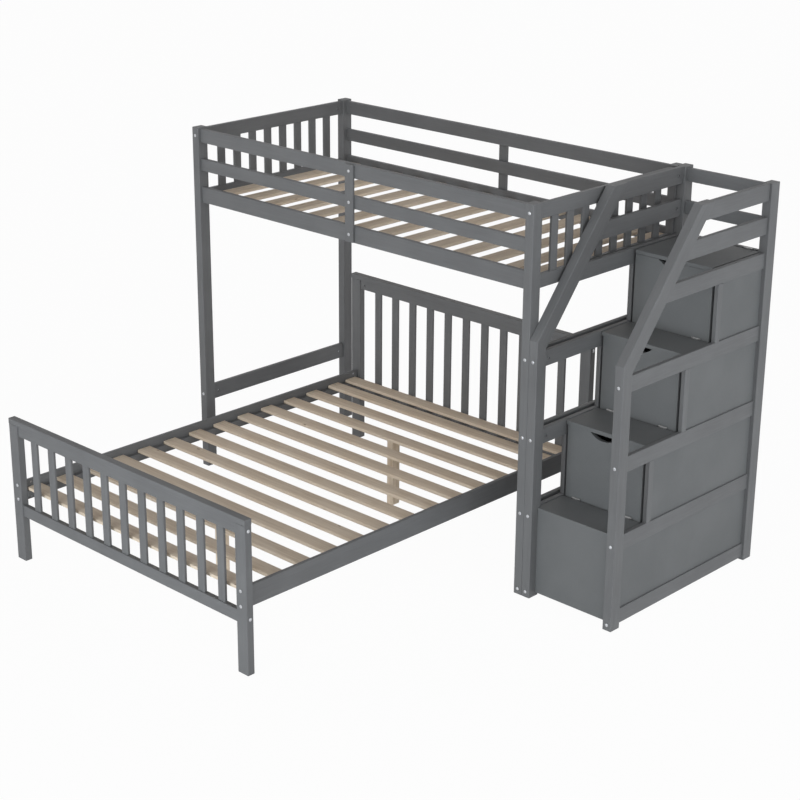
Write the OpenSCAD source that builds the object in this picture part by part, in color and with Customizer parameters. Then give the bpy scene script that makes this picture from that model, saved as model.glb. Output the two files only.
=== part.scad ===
// Loft bunk bed with a storage stair and a wider bed that stands crosswise under it.
// Lengths are in millimetres. X runs along the loft bed, Y from the viewer to the back, Z up.
// Every module draws in a frame whose origin is the loft bed's front left corner on the
// floor; placed() then moves the piece to the middle of the whole footprint.

/* [Loft bed] */
// Overall length of the loft bed
loft_l = 2000; // [1860:5:2140]
// Overall depth of the loft bed
loft_d = 970; // [880:5:975]
// Width of a loft post, seen from the front
post_w = 41; // [36:1:50]
// Depth of a loft post, front to back
post_d = 54; // [46:1:60]
// Height of the side rails' undersides above the floor
loft_clear = 1295; // [1270:5:1330]
// Height of a side rail
side_rail_h = 73; // [66:1:85]
// Height of a middle guard rail
mid_rail_h = 56; // [40:1:70]
// Height of a top guard rail
top_rail_h = 62; // [46:1:80]
// Open height between one long rail and the next
guard_gap = 74; // [50:1:75]
// Height that the posts stand above the top rails
post_over = 6; // [2:1:12]
// Thickness of the painted rails
rail_t = 20; // [18:1:24]
// Setback of the long rails behind the post faces
rail_setback = 14; // [8:1:20]
// Width of the strut that ties the long rails together
strut_w = 48; // [40:1:60]
// Thickness of the strut
strut_t = 12; // [10:1:14]
// Distance of the back strut to the right of the bed's middle
back_strut_shift = 25; // [0:1:60]
// Height of the lower rail in each end panel
end_rail_h = 56; // [50:1:64]
// Height of the low rail that ties the left posts
low_rail_h = 73; // [60:1:80]
// Number of upright slats in each end panel
end_slats = 8; // [4:1:9]
// Width of an upright end slat
end_slat_w = 41; // [34:1:46]
// Spacing of the upright end slats, centre to centre
end_slat_pitch = 95.5; // [85:0.5:100]
// Thickness of every upright slat
upright_t = 12; // [9:1:14]

/* [Mattress slats] */
// Width of a mattress slat
slat_w = 68; // [56:1:72]
// Thickness of a mattress slat
slat_t = 14; // [11:1:18]
// Spacing of the loft's slats
loft_slat_pitch = 142; // [125:1:170]
// Spacing of the lower bed's slats
bed_slat_pitch = 146.5; // [130:0.5:170]
// Distance from the loft's left end rail to its first slat
loft_first_gap = 43; // [20:1:60]
// Gap between the loft's last slat and its right posts
loft_far_gap = 1; // [0.5:0.5:35]
// Distance from the footboard's legs to the lower bed's first slat
bed_first_gap = 8; // [2:1:30]
// Gap between the lower bed's last slat and the headboard's posts
bed_far_gap = 21; // [4:1:40]
// Depth of the slats' top below the rail top
slat_sink = 28; // [24:1:32]
// Gap between a slat's end and the rail
slat_clear = 4; // [1:0.5:8]
// Width of the ledger that the slats rest on
ledger_w = 20; // [18:1:28]
// Height of that ledger
ledger_h = 25; // [18:1:28]

/* [Lower bed] */
// Overall width of the lower bed, along X
bed_w = 1472; // [1400:1:1550]
// Overall length of the lower bed, along Y
bed_l = 2038; // [1980:1:2100]
// Distance of the lower bed from the loft's left side
bed_x = 238; // [100:1:300]
// Distance that the footboard stands out in front of the loft
bed_out = 1232; // [1180:1:1280]
// Width of a leg along X
leg_w = 57; // [50:1:64]
// Depth of a leg along Y
leg_d = 33; // [30:1:42]
// Height of the footboard
foot_h = 636; // [560:1:700]
// Height of the headboard
head_h = 843; // [760:1:900]
// Height of the cap board on the headboard and the footboard
cap_h = 25; // [18:1:32]
// Thickness of the headboard's and footboard's rails
board_rail_t = 23; // [20:1:27]
// Height of the upper rail, under the cap
board_rail_h = 45; // [36:1:60]
// Height of the lower rail of each board
board_low_h = 51; // [42:1:54]
// Underside of the lower rail
board_low_z = 205; // [196:1:210]
// Number of upright slats in each board
board_slats = 11; // [5:2:11]
// Width of those slats
board_slat_w = 40; // [30:1:46]
// Spacing of the footboard's slats
foot_pitch = 116.6; // [100:0.2:118]
// Spacing of the headboard's slats
head_pitch = 113.4; // [100:0.2:118]
// Underside of the lower bed's side rails
bed_rail_z = 267; // [262:1:290]
// Height of the lower bed's side rails
bed_rail_h = 87; // [78:1:100]
// Thickness of the lower bed's side rails
bed_rail_t = 18; // [17:1:24]
// Setback of the side rails behind the legs' outer faces
bed_rail_setback = 23; // [14:1:28]
// Width of a centre leg along X
centre_leg_w = 36; // [30:1:50]
// Depth of a centre leg along Y
centre_leg_d = 46; // [30:1:56]
// Number of the slat, from each end, that stands on a centre leg
centre_leg_slat = 4; // [2:1:5]

/* [Stair] */
// Overall width of the stair
stair_w = 458; // [420:1:520]
// Overall depth of the stair
stair_d = 977; // [960:1:1020]
// Width of a stair post, seen from the front
stair_post_w = 41; // [38:1:48]
// Depth of a stair post
stair_post_d = 56; // [50:1:60]
// Height that the stair's top stands above the loft posts
stair_over = 3; // [0:1:10]
// Top of the first step's rail
first_level = 396; // [370:1:410]
// Rise from one step to the next
step_rise = 327; // [300:1:340]
// Drop of the platform rail below the loft's side rail top
platform_drop = 11; // [0:1:30]
// Height of the level rails in the stair's sides
level_rail_h = 66; // [60:1:74]
// Gap between the lowest rails and the floor
base_gap = 12; // [5:1:20]
// Height of the lowest rails
base_rail_h = 64; // [56:1:72]
// Depth of the first step
run_1 = 175; // [160:1:190]
// Depth of the second step
run_2 = 205; // [180:1:215]
// Depth of the third step
run_3 = 190; // [170:1:200]
// Depth of the upright stiles in the stair's sides
stile_d = 30; // [24:1:40]
// Thickness of the panels that close the sides and back
panel_t = 6; // [4:1:9]
// Setback of those panels behind the rails' outer faces
panel_setback = 8; // [4:1:10]
// Height of the stair's guard rails
stair_guard_h = 72; // [56:1:76]
// Open height between the two guard rails
stair_guard_gap = 66; // [50:1:70]
// Height of the stair's back guard rails
back_guard_h = 56; // [48:1:72]
// Slope of the handrails, in degrees
handrail_angle = 50.7; // [48:0.1:53]
// Depth of a handrail, square to its slope
handrail_d = 66; // [58:1:72]
// Height of the bend where a front post meets its handrail
bend_z = 1100; // [1080:1:1120]

/* [Steps and boxes] */
// Thickness of the risers
riser_t = 18; // [15:1:21]
// Thickness of the step lids
lid_t = 16; // [15:1:22]
// Depth of a lid's top below the rails beside it
lid_sink = 3; // [0:0.5:6]
// Distance that a lid stands out over its riser
lid_over = 3; // [0:0.5:8]
// Gap between the lids' edges and the stair's posts
lid_side_gap = 1.5; // [1:0.5:4]
// Gap between the step lids' edges and the rails beside them
lid_rail_gap = 3.5; // [2.5:0.5:6]
// Height of the shadow gap between the platform and its riser
platform_gap = 2; // [0:0.5:4]
// Thickness of the boards at the sides of the boxes
side_board_t = 12; // [9:1:15]
// Width and height of the cleats inside the boxes
cleat = 20; // [16:1:24]
// Thickness of the box floors
floor_t = 12; // [9:1:15]
// Width of the finger cut-outs
cutout_w = 132; // [100:1:180]
// Depth of the finger cut-outs
cutout_d = 28; // [20:1:40]
// Distance of the finger cut-outs to the left of the stair's middle
cutout_shift = 11; // [0:1:40]

/* [Hinges] */
// Length of a hinge
hinge_l = 40; // [30:1:60]
// Distance between the two hinges of a lid
hinge_spread = 260; // [180:1:290]
// Radius of the hinge barrel
hinge_r = 3.5; // [3:0.1:3.5]
// Thickness of a hinge leaf
leaf_t = 2; // [1.5:0.1:2.2]
// Height of a hinge leaf below the pin's axis
leaf_h = 17; // [14:0.5:18]
// Gap between a lid's rear edge and the face behind it
hinge_gap = 8; // [7.6:0.1:9]
// Radius of a hinge pin
pin_r = 1.5; // [1.2:0.1:1.8]
// Running clearance around a hinge pin
pin_clear = 0.06; // [0.03:0.01:0.1]

/* [Bolts] */
// Radius of a bolt's shank
bolt_r = 3; // [2.5:0.25:3.5]
// Clearance around a bolt's shank
bolt_clear = 0.3; // [0.1:0.1:0.6]
// Radius of a bolt's head
bolt_head_r = 7; // [6:0.25:8]
// Height of a bolt's head
bolt_head_h = 3; // [2:0.25:4]
// Distance of a barrel nut from the end of its rail
nut_inset = 30; // [25:1:38]
// Radius of a barrel nut
nut_r = 5; // [4.5:0.25:5.5]
// Height of the lowest bolts above the floor
base_bolt_z = 24; // [22:1:45]
// Drop of the other stair bolts below their rail's top
level_bolt_drop = 36; // [28:1:44]
// Distance of the lower bed's bolts from its side rail's edges
bed_bolt_inset = 12; // [10:1:20]

/* [Joinery] */
// Length of the stub tenons on the rails
tenon_l = 10; // [6:1:12]
// Shoulder around a stub tenon
shoulder = 5; // [4:0.5:6]
// Radius of the eased edges
ease = 2.5; // [1:0.25:3]

/* [Hidden] */
$fn = 40;

paint = [0.42, 0.43, 0.44];
bare_wood = [0.78, 0.71, 0.62];
zinc = [0.75, 0.75, 0.76];
eps = 0.01;
run_clear = 0.3;

// Heights in the loft bed
side_rail_top = loft_clear + side_rail_h;
mid_rail_z = side_rail_top + guard_gap;
top_rail_z = mid_rail_z + mid_rail_h + guard_gap;
loft_top = top_rail_z + top_rail_h + post_over;
loft_slat_z = side_rail_top - slat_sink - slat_t;
long_rail_l = loft_l - 2 * post_w;
end_rail_l = loft_d - 2 * post_d;
end_rail_x = (post_w - rail_t) / 2;
strut_end = 4;

// Heights in the stair: level(0) is the lowest rail, level(4) the platform
stair_top = loft_top + stair_over;
platform_z = side_rail_top - platform_drop;
function level(k) = k == 0 ? base_gap + base_rail_h : k == 4 ? platform_z : first_level + (k - 1) * step_rise;
function lid_top(k) = level(k) - lid_sink;
function lid_under(k) = lid_top(k) - lid_t;
function floor_z(k) = level(k - 1) - 4 - floor_t;

// Depths in the stair, from the front
stair_back_y = stair_d - stair_post_d;
back_rail_y = stair_d - (stair_post_d + rail_t) / 2;
back_panel_y = back_rail_y + rail_t - panel_setback - panel_t;
riser_1_y = stair_post_d - riser_t;
function riser_y(k) = k == 1 ? riser_1_y : k == 2 ? riser_1_y + run_1
    : k == 3 ? riser_1_y + run_1 + run_2 : riser_1_y + run_1 + run_2 + run_3;
function box_back_y(k) = k == 4 ? back_panel_y : riser_y(k + 1);
function hinge_face_y(k) = k == 4 ? back_rail_y : riser_y(k + 1);
function hinge_y(k) = hinge_face_y(k) - hinge_gap / 2;
function lid_back_y(k) = hinge_face_y(k) - hinge_gap;
function hinge_z(k) = lid_top(k) + hinge_r + run_clear;

// Widths in the stair: the boxes stand between the lines of the posts' inner faces
stair_rail_in = (stair_post_w - rail_t) / 2;
rail_in = stair_rail_in + rail_t;
box_w = stair_w - 2 * stair_post_w;
lid_x = stair_post_w + lid_side_gap;
box_in = stair_post_w + side_board_t;

// The rails of each frame, as rows of [underside, height]
long_rails = [[top_rail_z, top_rail_h], [mid_rail_z, mid_rail_h], [loft_clear, side_rail_h]];
end_top_row = [top_rail_z, top_rail_h];
end_low_row = [loft_clear, end_rail_h];
low_rail_row = [level(1) - low_rail_h + 4, low_rail_h];
base_row = [base_gap, base_rail_h];
level_rows = [for (k = [1:3]) [level(k) - level_rail_h, level_rail_h]];
left_end_rows = [end_top_row, end_low_row, low_rail_row];
right_end_rows = concat([end_top_row, end_low_row, base_row], level_rows);
lower_stair_rows = concat([base_row], level_rows);
guard_z = [stair_top - stair_guard_h, stair_top - 2 * stair_guard_h - stair_guard_gap];
upper_stair_rows = [[platform_z - level_rail_h, level_rail_h],
    [guard_z[0], stair_guard_h], [guard_z[1], stair_guard_h]];
back_guard_rise = (stair_guard_h - back_guard_h) / 2;
back_rows = [base_row, upper_stair_rows[0],
    [guard_z[0] + back_guard_rise, back_guard_h], [guard_z[1] + back_guard_rise, back_guard_h]];

// Bolt heights
function mid(row) = row[0] + row[1] / 2;
level_bolts = concat([base_bolt_z], [for (k = [1:3]) level(k) - level_bolt_drop]);
stair_back_bolts = concat(level_bolts, [for (row = upper_stair_rows) mid(row)]);
// One row for each bolt that runs along Y: [x, z, side of the rail's inner face]
left_loft_bolts = [for (row = [end_top_row, low_rail_row]) [post_w / 2, mid(row), 1]];
right_loft_bolts = [for (z = concat([mid(end_top_row)], level_bolts)) [loft_l - post_w / 2, z, -1]];
loft_bolts = concat(left_loft_bolts, right_loft_bolts);
function stair_bolts(rows) = [for (z = rows) for (s = [1, -1])
    [s > 0 ? stair_post_w / 2 : stair_w - stair_post_w / 2, z, s]];
bed_bolt_x = bed_rail_setback + bed_rail_t / 2;
bed_bolts_rows = [for (z = [bed_rail_z + bed_bolt_inset, bed_rail_z + bed_rail_h - bed_bolt_inset])
    for (s = [1, -1]) [s > 0 ? bed_bolt_x : bed_w - bed_bolt_x, z, s]];
bolt_reach = nut_inset + nut_r + 1;
nut_half = 6.5;
connector_z = [(level(0) + level(1)) / 2, (level(2) + level(3)) / 2];
connector_l = post_w + stair_post_w - 10;

// The lower bed's corner and the whole footprint
bed_y = -bed_out;
bed_slat_z = bed_rail_z + bed_rail_h - slat_sink - slat_t;
total_w = loft_l + stair_w;
middle_y = (bed_y + stair_d) / 2;

module placed() {
    translate([-total_w / 2, -middle_y, 0]) children();
}

module on_bed() {
    translate([bed_x, bed_y, 0]) children();
}

module on_stair() {
    translate([loft_l, 0, 0]) children();
}

// Turns a piece drawn along X so that it runs along Y
module along_y() {
    rotate([0, 0, 90]) mirror([0, 1, 0]) children();
}

// Sawn and sanded timber

function eased(w, d, r) = [
    for (corner = [[w - r, r, -90], [w - r, d - r, 0], [r, d - r, 90], [r, r, 180]])
    for (turn = [0, 45, 90])
    [corner[0] + r * cos(corner[2] + turn), corner[1] + r * sin(corner[2] + turn)]
];

module timber_x(l, t, h) {
    multmatrix([[0, 0, 1, 0], [1, 0, 0, 0], [0, 1, 0, 0]]) linear_extrude(l) polygon(eased(t, h, ease));
}

module timber_z(w, d, h) {
    linear_extrude(h) polygon(eased(w, d, ease));
}

// The stub tenons of a rail that runs along X from its first shoulder
module tenons(l, t, h) {
    translate([-tenon_l, shoulder, shoulder]) cube([l + 2 * tenon_l, t - 2 * shoulder, h - 2 * shoulder]);
}

module tenoned_rail(l, t, h) {
    timber_x(l, t, h);
    tenons(l, t, h);
}

// Bolts and nuts: the bolt's axis is Z, and its head stands on z = 0

module bolt(l) {
    rim = bolt_head_h * 0.4;
    difference() {
        rotate_extrude() polygon([[0, -l], [bolt_r - 0.6, -l], [bolt_r, 0.8 - l], [bolt_r, 0], [bolt_head_r, 0],
            [bolt_head_r, rim], [bolt_head_r - 1.2, bolt_head_h * 0.8], [bolt_head_r - 3, bolt_head_h], [0, bolt_head_h]]);
        translate([0, 0, bolt_head_h - 2]) cylinder(r = 2.3, h = 3, $fn = 6);
    }
}

module bolt_bore(l) {
    translate([0, 0, -l]) cylinder(r = bolt_r + bolt_clear, h = l + 1);
}

// A barrel nut lies across the rail, in a blind bore that opens on the rail's inner side
module barrel_nut(depth) {
    translate([0, 0, -depth]) difference() {
        rotate([0, 90, 0]) cylinder(r = nut_r, h = 2 * nut_half, center = true);
        cylinder(r = bolt_r + bolt_clear, h = 3 * nut_r, center = true);
    }
}

module nut_bore(depth, side) {
    translate([side * (rail_t / 2 + 1), 0, -depth]) rotate([0, -90 * side, 0])
        cylinder(r = nut_r + 0.2, h = rail_t / 2 + nut_half + 1.5);
}

// Front and back copies of what a row list places in a frame of depth d
module at_y_bolts(rows, d) {
    at_front_bolts(rows) children();
    at_back_bolts(rows, d) children();
}

module at_front_bolts(rows) {
    for (row = rows) {
        $side = row[2];
        translate([row[0], 0, row[1]]) rotate([90, 0, 0]) children();
    }
}

module at_back_bolts(rows, d) {
    for (row = rows) {
        $side = row[2];
        translate([row[0], d, row[1]]) rotate([-90, 0, 0]) children();
    }
}

module rail_bolt(post) {
    bolt(post + bolt_reach);
}

module rail_bores(post) {
    bolt_bore(post + bolt_reach + 3);
    nut_bore(post + nut_inset, $side);
}

// Where the lower bed's boards take their bolts, along X
module at_board_bolts(rows) {
    for (z = rows) {
        $side = 1;
        translate([0, leg_d / 2, z]) rotate([0, -90, 0]) children();
        translate([bed_w, leg_d / 2, z]) rotate([0, 90, 0]) children();
    }
}

// Where the stair is bolted to the loft bed, heads on the loft's side
module at_connectors() {
    for (z = connector_z) for (y = [post_d / 2, loft_d - post_d / 2])
        translate([loft_l - post_w, y, z]) rotate([0, -90, 0]) children();
}

module at_strut_bolts() {
    for (row = long_rails) {
        translate([loft_l / 2, rail_setback - strut_t, mid(row)]) rotate([90, 0, 0]) children();
        translate([loft_l / 2 + back_strut_shift, loft_d - rail_setback + strut_t, mid(row)])
            rotate([-90, 0, 0]) children();
    }
}

strut_bolt_l = strut_t + rail_t - 4;

// Joinery of the loft bed

module at_long_rail(i, back) {
    y = back ? loft_d - rail_setback - rail_t : rail_setback;
    translate([post_w, y, long_rails[i][0]]) children();
}

module at_end_rail(row, right) {
    x = right ? loft_l - post_w + end_rail_x : end_rail_x;
    translate([x, post_d, row[0]]) along_y() children();
}

module loft_mortises() {
    for (i = [0:2]) for (back = [false, true])
        at_long_rail(i, back) tenons(long_rail_l, rail_t, long_rails[i][1]);
    for (row = left_end_rows) at_end_rail(row, false) tenons(end_rail_l, rail_t, row[1]);
    for (row = right_end_rows) at_end_rail(row, true) tenons(end_rail_l, rail_t, row[1]);
}

module loft_post(x, y) {
    color(paint) placed() difference() {
        translate([x, y, 0]) timber_z(post_w, post_d, loft_top);
        loft_mortises();
        at_y_bolts(loft_bolts, loft_d) bolt_bore(post_d + 1);
        at_connectors() bolt_bore(post_w + 1);
    }
}

module loft_post_front_left() { loft_post(0, 0); }
module loft_post_front_right() { loft_post(loft_l - post_w, 0); }
module loft_post_back_left() { loft_post(0, loft_d - post_d); }
module loft_post_back_right() { loft_post(loft_l - post_w, loft_d - post_d); }

module long_rail(i, back) {
    color(paint) placed() difference() {
        at_long_rail(i, back) tenoned_rail(long_rail_l, rail_t, long_rails[i][1]);
        at_strut_bolts() bolt_bore(strut_bolt_l + 1);
    }
}

module front_top_guard_rail() { long_rail(0, false); }
module front_mid_guard_rail() { long_rail(1, false); }
module front_side_rail() { long_rail(2, false); }
module back_top_guard_rail() { long_rail(0, true); }
module back_mid_guard_rail() { long_rail(1, true); }
module back_side_rail() { long_rail(2, true); }

module strut(x, y) {
    z = loft_clear + strut_end;
    h = top_rail_z + top_rail_h - strut_end - z;
    color(paint) placed() difference() {
        translate([x - strut_w / 2, y, z]) timber_z(strut_w, strut_t, h);
        at_strut_bolts() bolt_bore(strut_t + 1);
    }
}

module front_guard_strut() { strut(loft_l / 2, rail_setback - strut_t); }
module back_guard_strut() { strut(loft_l / 2 + back_strut_shift, loft_d - rail_setback); }

module end_rails(rows, right) {
    color(paint) placed() difference() {
        for (row = rows) at_end_rail(row, right) tenoned_rail(end_rail_l, rail_t, row[1]);
        at_y_bolts(loft_bolts, loft_d) rail_bores(post_d);
    }
}

module end_slat_row(right) {
    x = (right ? loft_l - post_w / 2 : post_w / 2) - upright_t / 2;
    z = loft_clear + end_rail_h;
    first = (loft_d - (end_slats - 1) * end_slat_pitch - end_slat_w) / 2;
    color(paint) placed() for (i = [0:end_slats - 1])
        translate([x, first + i * end_slat_pitch, z]) timber_z(upright_t, end_slat_w, top_rail_z - z);
}

module left_end_rails() { end_rails(left_end_rows, false); }
module right_end_rails() { end_rails(right_end_rows, true); }
module left_end_slats() { end_slat_row(false); }
module right_end_slats() { end_slat_row(true); }

// Slats: laid at an even pitch from one end, with one more against the far end

function slat_starts(span, pitch, first_gap, far_gap) = concat(
    [for (i = [0:floor((span - first_gap - far_gap - 2 * slat_w - 6) / pitch)]) first_gap + i * pitch],
    [span - far_gap - slat_w]);
bed_slat_starts = slat_starts(bed_l - 2 * leg_d, bed_slat_pitch, bed_first_gap, bed_far_gap);

module slats_along_x(starts, l) {
    for (x = starts) translate([x, 0, 0])
        along_y() translate([slat_clear, 0, 0]) timber_x(l - 2 * slat_clear, slat_w, slat_t);
}

module slat_ledgers() {
    y_in = rail_setback + rail_t;
    bed_x_in = bed_rail_setback + bed_rail_t;
    color(paint) placed() {
        for (y = [y_in, loft_d - y_in - ledger_w])
            translate([post_w, y, loft_slat_z - ledger_h]) timber_x(long_rail_l, ledger_w, ledger_h);
        on_bed() for (x = [bed_x_in, bed_w - bed_x_in - ledger_w])
            translate([x, leg_d, bed_slat_z - ledger_h]) along_y() timber_x(bed_l - 2 * leg_d, ledger_w, ledger_h);
    }
}

module loft_slats() {
    y_in = rail_setback + rail_t;
    x_in = end_rail_x + rail_t;
    color(bare_wood) placed() translate([x_in, y_in, loft_slat_z])
        slats_along_x(slat_starts(loft_l - 2 * x_in, loft_slat_pitch, loft_first_gap, loft_far_gap + post_w - x_in),
            loft_d - 2 * y_in);
}

module bed_slats() {
    x_in = bed_rail_setback + bed_rail_t;
    color(bare_wood) placed() on_bed() translate([x_in, leg_d, bed_slat_z]) along_y()
        slats_along_x(bed_slat_starts, bed_w - 2 * x_in);
}

// The lower bed's headboard and footboard, drawn with their outer face on y = 0

module at_board(head) {
    if (head) on_bed() translate([0, bed_l, 0]) mirror([0, 1, 0]) children();
    else on_bed() children();
}

function board_rows(top) = [[board_low_z, board_low_h], [top - cap_h - board_rail_h, board_rail_h]];

module at_board_rail(row) {
    translate([leg_w, (leg_d - board_rail_t) / 2, row[0]]) children();
}

module board_legs(top) {
    for (x = [0, bed_w - leg_w]) difference() {
        translate([x, 0, 0]) timber_z(leg_w, leg_d, top - cap_h);
        for (row = board_rows(top)) at_board_rail(row) tenons(bed_w - 2 * leg_w, board_rail_t, row[1]);
        at_front_bolts(bed_bolts_rows) bolt_bore(leg_d + 1);
        at_board_bolts([for (row = board_rows(top)) mid(row)]) bolt_bore(leg_w + 1);
    }
}

module board_cap(top) {
    translate([0, 0, top - cap_h]) timber_x(bed_w, leg_d, cap_h);
}

module board_rails(top) {
    difference() {
        for (row = board_rows(top)) at_board_rail(row) tenoned_rail(bed_w - 2 * leg_w, board_rail_t, row[1]);
        at_board_bolts([for (row = board_rows(top)) mid(row)]) {
            bolt_bore(leg_w + bolt_reach + 3);
            translate([0, -nut_half - 0.5, -leg_w - nut_inset]) rotate([-90, 0, 0])
                cylinder(r = nut_r + 0.2, h = leg_d);
        }
    }
}

module board_slat_row(top, pitch) {
    z = board_low_z + board_low_h;
    first = (bed_w - (board_slats - 1) * pitch - board_slat_w) / 2;
    for (i = [0:board_slats - 1])
        translate([first + i * pitch, (leg_d - upright_t) / 2, z])
            timber_z(board_slat_w, upright_t, top - cap_h - board_rail_h - z);
}

module headboard_posts() { color(paint) placed() at_board(true) board_legs(head_h); }
module headboard_cap() { color(paint) placed() at_board(true) board_cap(head_h); }
module headboard_rails() { color(paint) placed() at_board(true) board_rails(head_h); }
module headboard_slats() { color(paint) placed() at_board(true) board_slat_row(head_h, head_pitch); }
module footboard_legs() { color(paint) placed() at_board(false) board_legs(foot_h); }
module footboard_cap() { color(paint) placed() at_board(false) board_cap(foot_h); }
module footboard_rails() { color(paint) placed() at_board(false) board_rails(foot_h); }
module footboard_slats() { color(paint) placed() at_board(false) board_slat_row(foot_h, foot_pitch); }

module bed_side_rail(x) {
    color(paint) placed() on_bed() difference() {
        translate([x, leg_d, bed_rail_z]) along_y() timber_x(bed_l - 2 * leg_d, bed_rail_t, bed_rail_h);
        at_y_bolts(bed_bolts_rows, bed_l) rail_bores(leg_d);
    }
}

module bed_side_rail_left() { bed_side_rail(bed_rail_setback); }
module bed_side_rail_right() { bed_side_rail(bed_w - bed_rail_setback - bed_rail_t); }

// Each centre leg stands under the middle of a slat
module centre_legs() {
    slats = [bed_slat_starts[centre_leg_slat - 1], bed_slat_starts[len(bed_slat_starts) - centre_leg_slat]];
    color(bare_wood) placed() on_bed() for (y = slats)
        translate([(bed_w - centre_leg_w) / 2, leg_d + y + (slat_w - centre_leg_d) / 2, 0])
            timber_z(centre_leg_w, centre_leg_d, bed_slat_z);
}

// The stair's frame, drawn from its own left front corner

// The handrail's front line is set by the bend and its angle, its rear line by its depth
handrail_step = handrail_d / sin(handrail_angle);
function front_line_y(z) = (z - bend_z) / tan(handrail_angle);
function rear_line_y(z) = front_line_y(z) + handrail_step;
rear_bend_z = bend_z + (stair_post_d - handrail_step) * tan(handrail_angle);

module side_outline(points) {
    multmatrix([[0, 0, 1, 0], [1, 0, 0, 0], [0, 1, 0, 0]])
        translate([0, 0, -1]) linear_extrude(stair_w + 2) polygon(points);
}

module stair_front_post(x) {
    color(paint) placed() on_stair() difference() {
        intersection() {
            translate([x, 0, 0]) timber_z(stair_post_w, stair_post_d, bend_z);
            side_outline([[-1, -1], [stair_post_d + 1, -1], [stair_post_d + 1, rear_bend_z],
                [stair_post_d, rear_bend_z], [0, bend_z], [-1, bend_z]]);
        }
        stair_mortises();
        at_front_bolts(stair_bolts(level_bolts)) bolt_bore(stair_post_d + 1);
        translate([-loft_l, 0, 0]) at_connectors() bolt_bore(connector_l + 1);
    }
}

module stair_post_front_left() { stair_front_post(0); }
module stair_post_front_right() { stair_front_post(stair_w - stair_post_w); }

module handrail(x) {
    slope_l = (stair_top - bend_z + stair_post_d) / sin(handrail_angle) + handrail_step;
    color(paint) placed() on_stair() intersection() {
        translate([x, 0, bend_z]) rotate([handrail_angle - 90, 0, 0])
            translate([0, 0, -handrail_step]) timber_z(stair_post_w, handrail_d, slope_l);
        side_outline([[0, bend_z], [front_line_y(stair_top) - eps, stair_top],
            [rear_line_y(stair_top) + eps, stair_top], [stair_post_d, rear_bend_z]]);
    }
}

module left_handrail() { handrail(0); }
module right_handrail() { handrail(stair_w - stair_post_w); }

module at_stair_rail(row, right) {
    x = right ? stair_w - stair_rail_in - rail_t : stair_rail_in;
    translate([x, stair_post_d, row[0]]) along_y() children();
}

stair_rail_l = stair_d - 2 * stair_post_d;

module at_back_rail(row) {
    translate([stair_post_w, back_rail_y, row[0]]) children();
}

module stair_mortises() {
    for (right = [false, true]) for (row = lower_stair_rows)
        at_stair_rail(row, right) tenons(stair_rail_l, rail_t, row[1]);
}

module back_mortises() {
    for (right = [false, true]) for (row = upper_stair_rows)
        at_stair_rail(row, right) translate([stair_rail_l / 2, 0, 0]) tenons(stair_rail_l / 2, rail_t, row[1]);
    for (row = back_rows) at_back_rail(row) tenons(stair_w - 2 * stair_post_w, rail_t, row[1]);
}

module stair_back_posts() {
    color(paint) placed() on_stair() for (x = [0, stair_w - stair_post_w]) difference() {
        translate([x, stair_back_y, 0]) timber_z(stair_post_w, stair_post_d, stair_top);
        stair_mortises();
        back_mortises();
        at_back_bolts(stair_bolts(stair_back_bolts), stair_d) bolt_bore(stair_post_d + 1);
        translate([-loft_l, 0, 0]) at_connectors() bolt_bore(connector_l + 1);
    }
}

module lower_side_rails(right) {
    color(paint) placed() on_stair() difference() {
        for (row = lower_stair_rows) at_stair_rail(row, right) tenoned_rail(stair_rail_l, rail_t, row[1]);
        at_front_bolts(stair_bolts(level_bolts)) rail_bores(stair_post_d);
        at_back_bolts(stair_bolts(level_bolts), stair_d) rail_bores(stair_post_d);
    }
}

// A rail that starts on the handrail's rear face and ends in the back post
module upper_side_rail(row, right) {
    start = rear_line_y(row[0]) - stair_post_d;
    difference() {
        at_stair_rail(row, right) {
            translate([start, 0, 0]) timber_x(stair_rail_l - start, rail_t, row[1]);
            translate([stair_rail_l - 1, shoulder, shoulder])
                cube([tenon_l + 1, rail_t - 2 * shoulder, row[1] - 2 * shoulder]);
        }
        side_outline([[rear_line_y(row[0]) - 5, row[0] - 5 * tan(handrail_angle)],
            [rear_line_y(stair_top + 9), stair_top + 9], [0, stair_top + 9], [0, row[0]]]);
        at_back_bolts(stair_bolts(stair_back_bolts), stair_d) rail_bores(stair_post_d);
    }
}

module left_stair_rails() {
    lower_side_rails(false);
    color(paint) placed() on_stair() upper_side_rail(upper_stair_rows[0], false);
}

module right_stair_rails() {
    lower_side_rails(true);
    color(paint) placed() on_stair() upper_side_rail(upper_stair_rows[0], true);
}

module stair_guard_rails() {
    color(paint) placed() on_stair() for (i = [1, 2]) for (right = [false, true])
        upper_side_rail(upper_stair_rows[i], right);
}

module stair_stiles() {
    color(paint) placed() on_stair() for (k = [2:4]) for (x = [stair_rail_in, stair_w - stair_rail_in - rail_t])
        translate([x, riser_y(k), level(k - 1)]) timber_z(rail_t, stile_d, level(k) - level_rail_h - level(k - 1));
}

module stair_side_panels() {
    inset = stair_rail_in + panel_setback;
    color(paint) placed() on_stair() for (k = [1:4]) for (x = [inset, stair_w - inset - panel_t]) {
        y = k == 1 ? stair_post_d : riser_y(k) + stile_d;
        translate([x, y, level(k - 1)])
            cube([panel_t, stair_back_y - y, level(k) - level_rail_h - level(k - 1)]);
    }
}

module stair_back_rails() {
    color(paint) placed() on_stair() for (row = back_rows)
        at_back_rail(row) tenoned_rail(stair_w - 2 * stair_post_w, rail_t, row[1]);
}

module stair_back_panel() {
    color(paint) placed() on_stair() translate([stair_post_w, back_panel_y, level(0)])
        cube([stair_w - 2 * stair_post_w, panel_t, platform_z - level_rail_h - level(0)]);
}

// The boxes under the steps: a riser also closes the back of the box in front of it

function riser_top(k) = k == 4 ? lid_under(k) - platform_gap : lid_under(k);

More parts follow.
